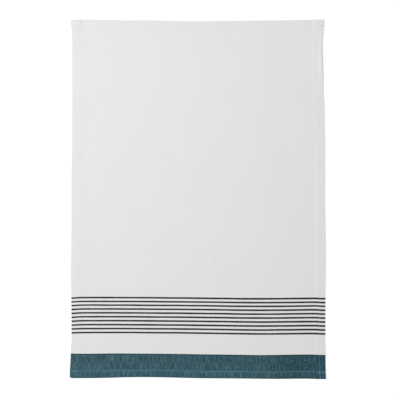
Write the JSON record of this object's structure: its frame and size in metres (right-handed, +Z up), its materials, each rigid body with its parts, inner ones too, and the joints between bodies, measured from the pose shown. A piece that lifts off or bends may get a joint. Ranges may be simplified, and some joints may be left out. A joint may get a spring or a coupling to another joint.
{
  "type": "tea towel",
  "caption": "Hemmed cotton kitchen towel laid out flat, white with dark woven stripes and a blue-green band across one end.",
  "frame": {"origin": "middle of the towel's outline, on the surface that it lies on", "axes": "+X across the towel, +Y along its length away from the striped end, +Z up out of its face"},
  "size_m": [0.502, 0.7046, 0.0051],
  "materials": {
    "woven_cotton": "matt plain-weave cotton: white field, charcoal cross stripes and a blue-green chambray band at one end, hems sewn with white thread"
  },
  "bodies": {
    "root": {"towel": "woven_cotton"}
  },
  "joints": []
}
